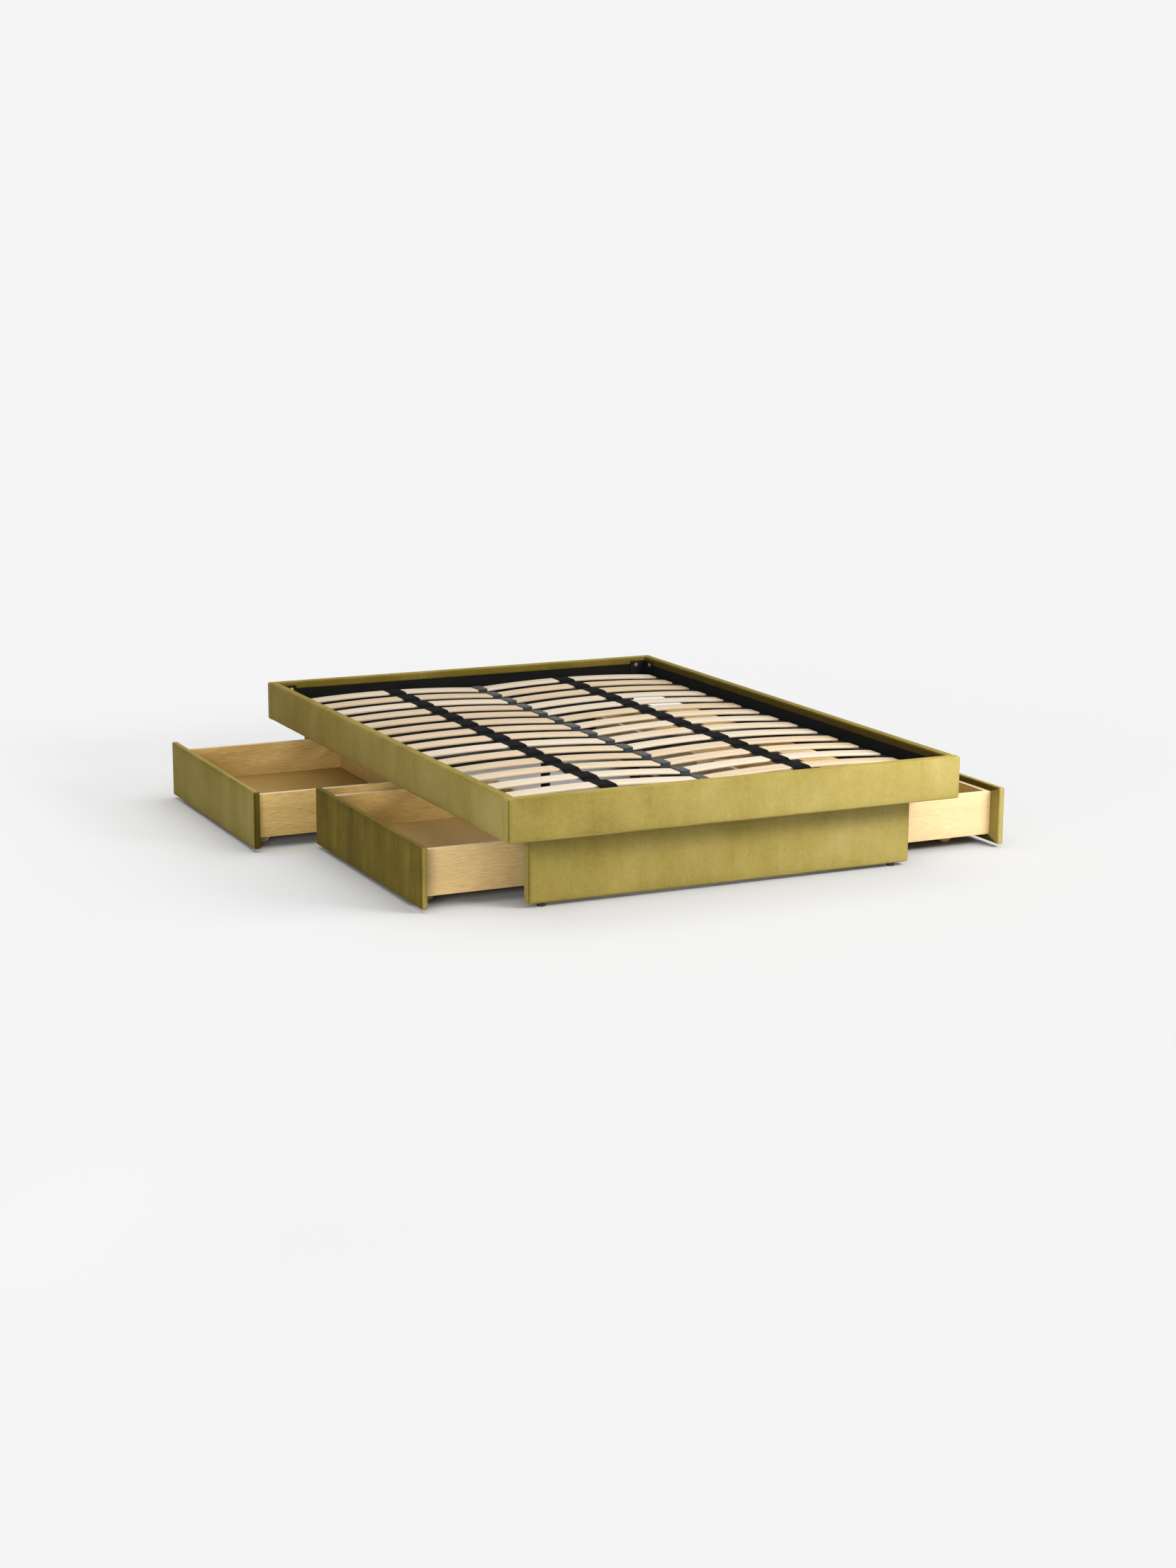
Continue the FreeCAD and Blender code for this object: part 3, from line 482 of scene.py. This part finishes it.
axisX, axisY, axisZ = np.eye(3)
patternReach = 9.0  # each board or slat takes its grain from a random place within this many metres


def boxOf(node):
    return tuple(np.array(corner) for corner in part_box(node))


# the level axis that runs along a panel, from the way the panel faces
def lengthAxis(outward):
    return axisY if abs(outward[0]) > 0.5 else axisX


# velvet over wadding on a board: a crowned slab whose back has a sunk window where the cover ends
def velvetCover(name, node, body, outward, cover, seed):
    low, high = boxOf(node)
    length = lengthAxis(outward)
    size = [abs((high - low) @ axis) for axis in (outward, axisZ, length)]
    halfB, halfC = size[1] / 2, size[2] / 2
    fromBottom, fromTop, fromEnds = cover["window"]
    windowLow, windowHigh, windowEnd = -halfB + fromBottom, halfB - fromTop, halfC - fromEnds
    edge, soft = cover["edge"], cover["soft"]
    levels = (windowLow, windowLow + soft, windowHigh - soft, windowHigh)
    grid = slab(
        size, edge, cover["pitch"],
        across=[v for v in levels if abs(v) < halfB - edge],
        along=[s * v for v in (windowEnd, windowEnd - soft) for s in (-1, 1) if v < halfC - edge],
        tip=cover["tip"],
    )
    facingA, facingB, facingC = np.moveaxis(grid["normal"], 2, 0)
    a, b, c = np.moveaxis(grid["points"], 2, 0)
    front = np.clip(facingA, 0, 1)
    back = np.clip(-facingA, 0, 1)
    fromRim = np.minimum(halfB - np.abs(b), halfC - np.abs(c))  # distance from the panel's outline
    crown = cover["crown"] * step(fromRim, *cover["crownRun"])
    sunk = cover["sink"] * step(b, windowLow, windowLow + soft) * (1 - step(b, windowHigh - soft, windowHigh))
    sunk = sunk * (1 - step(np.abs(c), windowEnd - soft, windowEnd))
    waves = cover["ripple"] * ripple(c, b, seed, *cover["waves"])
    seam = np.clip(2 * facingA * np.abs(facingC), 0, 1) ** 3  # upright front corners, dented in and darkened there with painted crease shade
    moved = np.stack([a + front * (crown + waves) + back * sunk, b, c], 2)
    moved = moved - grid["normal"] * (cover["seamDepth"] * seam)[:, :, None]
    rim = np.exp(-np.clip(fromRim, 0, 1) / cover["rimWidth"])
    ends = np.abs(facingC)
    # painted shade: back faces, such as the rails' inner lips, are darkened as if in shade
    nap = cover["tone"] + cover["rimTone"] * rim * front + cover["backShade"] * back
    nap = nap + cover["paintedFalloff"] * front * c / halfC  # painted light: the pile is lightened towards one end, standing in for a lamp's fall-off along the panel
    # painted shade: up-facing faces are darkened so that tops lit from above show no lighter than the sides
    above = np.clip(facingB, 0, 1)
    nap = nap + cover["endTone"] * ends + cover["seamShade"] * seam + cover["topShade"] * above
    # the cover's turned-in strips meet on mitres behind the corners, side strips brushed lighter
    mitre = (halfB - np.abs(b)) - (halfC - np.abs(c)) * cover["mitreSlope"]
    grid["points"] = moved
    stepU, stepV = cover["uvStep"]
    shell = placed(
        grid, (low + high) / 2, (outward, axisZ, length), (seed * stepU, seed * stepV),
        nap=nap, streak=cover["streak"] * front, mitre=mitre, fold=cover["fold"] * back,
    )
    piece = meshFrom(name, [shell], velvet)
    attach(piece, body)
    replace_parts(piece, node)


# sizes first, then tones of the pile, among them painted light and shade; window holds the insets of the sunk back
# from the cover's bottom, top and ends, where a negative one lets it run out over the edge
railVelvet = {
    "edge": 0.0065, "tip": None, "pitch": 0.012, "crown": 0.0014, "crownRun": (-0.002, 0.035), "sink": 0.0036,
    "soft": 0.002, "ripple": 0.0006, "waves": (0.09, 0.32), "seamDepth": 0.0009, "mitreSlope": 1.0,
    "window": (0.003, 0.023, -0.1),
    "tone": 0.50, "rimTone": -0.06, "rimWidth": 0.010, "backShade": -0.22, "endTone": 0.06, "topShade": -0.05,
    "seamShade": -0.20, "streak": 0.12, "fold": 0.0, "paintedFalloff": 0.0, "uvStep": (1.7, 0.9),
}
# the end rails' backs are open only between the side rails
endVelvet = dict(railVelvet, window=(0.003, 0.023, 0.036))
# painted light: the foot rail is lighter towards its right end
velvetCover("footRailVelvet", "foot_rail_cover", "bed", -axisY, dict(endVelvet, tone=0.52, paintedFalloff=0.07), 1)
velvetCover("headRailVelvet", "head_rail_cover", "bed", axisY, endVelvet, 2)
# the side rails' ends stand square against the end rails; painted shade darkens their tops more than the end
# rails' tops
sideVelvet = dict(railVelvet, tone=0.48, seamShade=0, seamDepth=0, edge=0.009, topShade=-0.14, tip=0.0015)
# painted light: the left rail is lighter towards its foot end
velvetCover("leftRailVelvet", "left_rail_cover", "bed", -axisX, dict(sideVelvet, tone=0.53, paintedFalloff=-0.045), 3)
# painted shade: the right rail's inner lip, which faces away from the key lamp, is darker still
velvetCover("rightRailVelvet", "right_rail_cover", "bed", axisX, dict(sideVelvet, backShade=-0.48), 4)

# painted light: the plinths are lighter towards their right end
plinthVelvet = dict(railVelvet, tone=0.515, paintedFalloff=0.05, crown=0.0018, window=(0.030, -0.1, 0.030))
velvetCover("footPlinthVelvet", "foot_plinth_cover", "bed", -axisY, plinthVelvet, 5)
velvetCover("headPlinthVelvet", "head_plinth_cover", "bed", axisY, plinthVelvet, 6)

# painted shade darkens the fronts' backs
frontVelvet = dict(
    railVelvet, edge=0.0052, pitch=0.010, crown=0.0012, tone=0.52, rimTone=-0.14, rimWidth=0.012, streak=0.22,
    backShade=-0.46, mitreSlope=0.385, fold=0.42, window=(0.060, 0.060, 0.060),
)
drawers = {"left_foot": -axisX, "left_head": -axisX, "right_foot": axisX, "right_head": axisX}
# the pile was brushed another way on each of the left fronts
brushing = {
    "left_foot": {"tone": 0.25, "streak": 0.46, "endTone": 0.20},
    "left_head": {"tone": 0.52, "streak": 0.14, "endTone": -0.44},
}
firstSeed = 7
for seed, (drawer, outward) in enumerate(drawers.items(), firstSeed):
    node = f"drawer_{drawer}"
    look = dict(frontVelvet, **brushing.get(drawer, {}))
    velvetCover(f"{node}_velvet", f"{node}_front_cover", node, outward, look, seed)
print("velvet covers made")

# black lining inside the rails, kept just behind the brackets' face
liningStrip = {
    "thick": 0.003, "edge": 0.0012, "pitch": 0.020, "behind": 0.0006, "top": 0.3295, "bottom": 0.2255,
    "ripple": 0.0004, "waves": (0.05, 0.20), "seed": 30, "uvStep": (2.3, 1.1),
    "dims": (0.0, 0.75, 0.0, 0.0),  # painted shade: the right rail's lining is darkened as it stands in shade
}


def railLining(strip):
    shells = []
    low, high = boxOf("rail_linings")
    tall = strip["top"] - strip["bottom"]
    middle = (strip["top"] + strip["bottom"]) / 2
    stepU, stepV = strip["uvStep"]
    for number, outward in enumerate((-axisX, axisX, -axisY, axisY)):
        length = lengthAxis(outward)
        reach = (high - low) @ length - 2 * strip["thick"]
        grid = slab((strip["thick"], tall, reach), strip["edge"], strip["pitch"], arcSteps=2, flatSteps=2)
        b, c = grid["points"][:, :, 1], grid["points"][:, :, 2]
        grid["points"][:, :, 0] += strip["ripple"] * ripple(c, b, strip["seed"] + number, *strip["waves"])
        out = abs((high - low) @ outward) / 2 - strip["thick"] / 2 + strip["behind"]
        centre = outward * out + axisZ * middle
        shift = (number * stepU, number * stepV)
        shells.append(placed(grid, centre, (outward, axisZ, length), shift, dim=strip["dims"][number]))
    piece = meshFrom("railLining", shells, lining)
    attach(piece, "bed")
    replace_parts(piece, "rail_linings")


railLining(liningStrip)

# sprung slats: a flat rounded slab bent to an arc, repeated along the bed
slatForm = {
    "count": 15, "width": 0.063, "thick": 0.008, "edge": 0.0026, "rise": 0.014, "pitch": 0.016,
    "plies": 2.5, "sawn": (0.5, 0.95), "seed": 11,
}


# from one slat's middle line to the next
def slatPitch(node, form):
    low, high = boxOf(node)
    return (high[1] - low[1] - form["width"]) / (form["count"] - 1)


def sprungSlats(name, node, form):
    low, high = boxOf(node)
    long = high[0] - low[0]
    radius = long**2 / (8 * form["rise"]) + form["rise"] / 2
    grid = slab((form["thick"], form["width"], long), form["edge"], form["pitch"], arcSteps=3, flatSteps=3)
    a, b, c = np.moveaxis(grid["points"], 2, 0)
    grid["points"] = np.stack([a + np.sqrt(radius**2 - c**2) - radius + form["rise"], b, c], 2)
    sawn = step(1 - np.abs(grid["normal"][:, :, 0]), *form["sawn"])
    ply = sawn * (0.5 + 0.5 * np.sin(a / form["thick"] * 2 * math.pi * form["plies"]))
    chance = np.random.default_rng(form["seed"])
    pitch = slatPitch(node, form)
    middle, bottom = (low[0] + high[0]) / 2, low[2] + form["thick"] / 2
    shells = []
    for number in range(form["count"]):
        centre = (middle, low[1] + form["width"] / 2 + number * pitch, bottom)
        shift = chance.uniform(0, patternReach, 2)
        shells.append(placed(grid, centre, (axisZ, axisY, -axisX), shift, tint=chance.uniform(0, 1), ply=ply))
    piece = meshFrom(name, shells, birch)
    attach(piece, "bed")
    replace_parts(piece, node)


sprungSlats("leftSlats", "slats_left", slatForm)
sprungSlats("rightSlats", "slats_right", dict(slatForm, seed=12))

# double holders on the centre beam: blocks with rounded corners and ribs between grooves on their front and back
holderForm = {
    "corner": 0.006, "rim": 0.0016, "pitch": 0.006, "groove": 0.0010, "grooveWidth": 0.0006,
    "levels": (-0.0036, 0.0, 0.0036), "ribbed": 0.0055, "rows": 34,
}


def slatHolders(form, slats):
    low, high = boxOf("slat_holders")
    pitch = slatPitch("slats_left", slats)
    wide, tall = high[0] - low[0], high[2] - low[2]
    deep = high[1] - low[1] - pitch * (slats["count"] - 1)
    levels = np.linspace(-form["ribbed"], form["ribbed"], form["rows"])
    grid = slab((wide, deep, tall), form["corner"], form["pitch"], along=levels, tip=form["rim"])
    a, b, c = np.moveaxis(grid["points"], 2, 0)
    ends = np.abs(grid["normal"][:, :, 1])
    cut = sum(np.exp(-((c - level) / form["grooveWidth"]) ** 2) for level in form["levels"])
    grid["points"] = np.stack([a, b - np.sign(b) * ends * form["groove"] * cut, c], 2)
    shells = []
    for number in range(slats["count"]):
        centre = (0, low[1] + deep / 2 + number * pitch, (low[2] + high[2]) / 2)
        shells.append(placed(grid, centre, (axisX, axisY, axisZ)))
    piece = meshFrom("centreHolders", shells, holderPlastic)
    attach(piece, "bed")
    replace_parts(piece, "slat_holders")


slatHolders(holderForm, slatForm)

# webbing tapes: a thin ribbon that lies flat over each slat and dips between them
tapeForm = {
    "width": 0.060, "thick": 0.0015, "edge": 0.0006, "grid": 0.005, "pitch": 0.130, "dip": 0.007, "flat": 0.0315,
    "slope": 0.022, "twist": 0.0008, "twistLength": 0.031, "samples": 4000,
}


# how far the tape has dropped, by its distance from the nearest slat's middle line
def tapeDrop(along, form):
    away = np.abs((along + form["pitch"] / 2) % form["pitch"] - form["pitch"] / 2)
    return away, form["dip"] * step(away, form["flat"], form["flat"] + form["slope"])


def webbingTape(name, side, form):
    low, high = boxOf("slat_tapes")
    long = high[1] - low[1]
    middle = side * (high[0] - form["width"] / 2)
    grid = slab((form["thick"], form["width"], long), form["edge"], form["grid"], arcSteps=2, flatSteps=2)
    a, b, c = np.moveaxis(grid["points"], 2, 0)
    away, drop = tapeDrop(c, form)
    twist = form["twist"] * np.sin(c / form["twistLength"] + side) * (b / form["width"])
    twist = twist * step(away, form["flat"], form["pitch"] / 2)
    grid["points"] = np.stack([a - drop + twist, b, c], 2)
    top = high[2] - form["thick"] / 2
    shell = placed(grid, (middle, (low[1] + high[1]) / 2, top), (axisZ, -axisX, axisY))
    piece = meshFrom(name, [shell], webbing)
    line = np.linspace(-long / 2, long / 2, form["samples"])
    cut = float(np.hypot(np.diff(line), np.diff(tapeDrop(line, form)[1])).sum())  # length of the wavy line
    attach(piece, "bed")
    return piece


for side, name in ((-1, "leftTape"), (1, "rightTape")):
    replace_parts(webbingTape(name, side, tapeForm), "slat_tapes")
print("slats, holders and tapes made")

# drawer boxes: boards with eased edges, paler bands along their top edges
boardForm = {
    "wall": 0.016, "edge": 0.0012, "pitch": 0.030, "band": (0.5, 0.9), "inside": (0.0, 0.9), "seed": 40,
    # painted light: how far each box's outer faces are paled
    "pale": {"left_foot": 0.2, "left_head": 0.0, "right_foot": 0.45, "right_head": 0.45},
    # painted shade on the faces inside the boxes, deepest in the left foot box under the rail
    "shade": {"left_foot": 0.26, "left_head": 0.06, "right_foot": 0.0, "right_head": 0.0},
    # floor boards: partly a browner board, partly painted shade
    "floor": {"left_foot": 0.55, "left_head": 0.80, "right_foot": 0.80, "right_head": 0.80},
}


def drawerBoards(drawer, form, seed):
    node = f"drawer_{drawer}"
    chance = np.random.default_rng(seed)

    # outer is the sign of the thickness axis on the box's outside; faces that look into the box get painted shade
    def board(low, high, axes, outer=0, inset=0.0):
        size = [abs((high - low) @ axis) for axis in axes]
        grid = slab(size, form["edge"], form["pitch"], arcSteps=2, flatSteps=3)
        band = step(grid["normal"][:, :, 1] * axes[1][2], *form["band"])
        inside = step(-grid["normal"][:, :, 0] * outer, *form["inside"])
        # painted light on the faces that look out of the box
        pale = form["pale"][drawer] * (1 - inside)
        inset = inset + form["shade"][drawer] * inside
        shift = chance.uniform(0, patternReach, 2)
        return placed(grid, (low + high) / 2, axes, shift, band=band, inset=inset, pale=pale)

    for part, slotAxes in (("box_sides", (axisY, axisZ, axisX)), ("box_ends", (axisX, axisZ, axisY))):
        low, high = boxOf(f"{node}_{part}")
        across = slotAxes[0]
        near = high - across * (high - low - form["wall"])
        far = low + across * (high - low - form["wall"])
        boards = [board(low, near, slotAxes, -1), board(far, high, slotAxes, 1)]
        piece = meshFrom(f"{node}_{part}_boards", boards, oak)
        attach(piece, node)
        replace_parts(piece, f"{node}_{part}")
    low, high = boxOf(f"{node}_bottom")
    floorBoard = board(low, high, (axisZ, axisY, axisX), inset=form["floor"][drawer])
    piece = meshFrom(f"{node}_floor_board", [floorBoard], oak)
    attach(piece, node)
    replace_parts(piece, f"{node}_bottom")


for seed, drawer in enumerate(drawers, boardForm["seed"]):
    drawerBoards(drawer, boardForm, seed)
print("drawer boxes made")

# floor and light: a pale floor that keeps its shadows and fades into an even background
stageLook = {
    "background": 0.913, "bounce": 0.40, "ambient": 0.36, "fadeStart": 2.6, "fadeEnd": 5.0, "reach": 40.0,
    "speckScale": 3, "speckTone": 0.01, "lampPoint": 0.29,
}
lamps = {
    "keyBox": {"place": (1.45, -2.55, 1.45), "aim": (0.2, -1.0, 0.2), "size": (1.4, 0.7), "power": 78},
    "sideBox": {"place": (-2.6, -2.9, 0.85), "aim": (-0.9, -0.8, 0.2), "size": (1.0, 0.6), "power": 38},
}
skyLamp = {"from": (0.14, -0.08, 1.0), "strength": 1.95, "angle": 1.7}


def makeLamps(boxes, sky):
    made = []
    for name, box in boxes.items():
        data = bpy.data.lights.new(name, "AREA")
        data.shape = "RECTANGLE"
        data.size, data.size_y = box["size"]
        data.energy = box["power"]
        lamp = bpy.data.objects.new(name, data)
        turn = (Vector(box["aim"]) - Vector(box["place"])).to_track_quat("-Z", "Y")
        lamp.matrix_world = Matrix.Translation(box["place"]) @ turn.to_matrix().to_4x4()
        lamp.visible_camera = False
        scene.collection.objects.link(lamp)
        made.append(lamp)
    data = bpy.data.lights.new("skyLamp", "SUN")
    data.energy = sky["strength"]
    data.angle = sky["angle"]
    lamp = bpy.data.objects.new("skyLamp", data)
    lamp.rotation_euler = (-Vector(sky["from"])).to_track_quat("-Z", "Y").to_euler()
    scene.collection.objects.link(lamp)
    return made


# light on the bare floor: ambient, sky, and each lamp as four points of power / pi^2 * cos * cos / distance^2,
# where lampPoint is a point's place as a share of the lamp's size
def bareLight(f, place, look, sky, made):
    total = look["ambient"] + sky["strength"] / math.pi * Vector(sky["from"]).normalized().z
    for lamp in made:
        back = lamp.matrix_world.to_3x3().col[2]
        halfWide, halfTall = look["lampPoint"] * lamp.data.size, look["lampPoint"] * lamp.data.size_y
        for s, t in ((-1, -1), (-1, 1), (1, -1), (1, 1)):
            point = lamp.matrix_world @ Vector((s * halfWide, t * halfTall, 0))
            ray = f.vector("SUBTRACT", point, place, "Vector")
            squared = f.vector("DOT_PRODUCT", ray, ray)
            facing = f.highest(f.vector("DOT_PRODUCT", ray, back), 0.0)
            total = total + facing * (lamp.data.energy / 4 / math.pi**2 * point.z) / (squared * squared)
    return total


def makeStage(look, sky, made):
    reach = look["reach"]
    corners = [(-reach, -reach, 0), (reach, -reach, 0), (reach, reach, 0), (-reach, reach, 0)]
    mesh = bpy.data.meshes.new("floor")
    mesh.from_pydata(corners, [], [(0, 1, 2, 3)])
    floor = bpy.data.objects.new("floor", mesh)
    scene.collection.objects.link(floor)
    f = Finish("paleFloor")
    seen = f.straight()
    place = f.coordinates()
    away = f.smooth(f.vector("LENGTH", place, (0, 0, 0)), look["fadeStart"], look["fadeEnd"])
    speck = (f.noise(place, look["speckScale"], 2) - 0.5) * look["speckTone"]
    shade = (look["background"] + speck) / bareLight(f, place, look, sky, made)
    background, ambient, bounce = ((look[key],) * 3 + (1,) for key in ("background", "ambient", "bounce"))
    lit = f.add("ShaderNodeBsdfDiffuse", {}, {"Color": shade})
    flat = f.add("ShaderNodeEmission", {}, {"Color": background})
    shown = f.add("ShaderNodeMixShader", {}, {0: away, 1: lit, 2: flat})
    plain = f.add("ShaderNodeBsdfDiffuse", {}, {"Color": bounce})
    both = f.add("ShaderNodeMixShader", {}, {0: seen, 1: plain, 2: shown})
    f.add("ShaderNodeOutputMaterial", {}, {"Surface": both})
    mesh.materials.append(f.material)
    world = bpy.data.worlds.new("studio")
    world.use_nodes = True
    scene.world = world
    w = Finish("studio", world.node_tree)
    colour = w.blend(w.straight(), ambient, background)
    shown = w.add("ShaderNodeBackground", {}, {"Color": colour})
    w.add("ShaderNodeOutputWorld", {}, {"Surface": shown})


made = makeLamps(lamps, skyLamp)
makeStage(stageLook, skyLamp, made)
print("stage and lamps made")
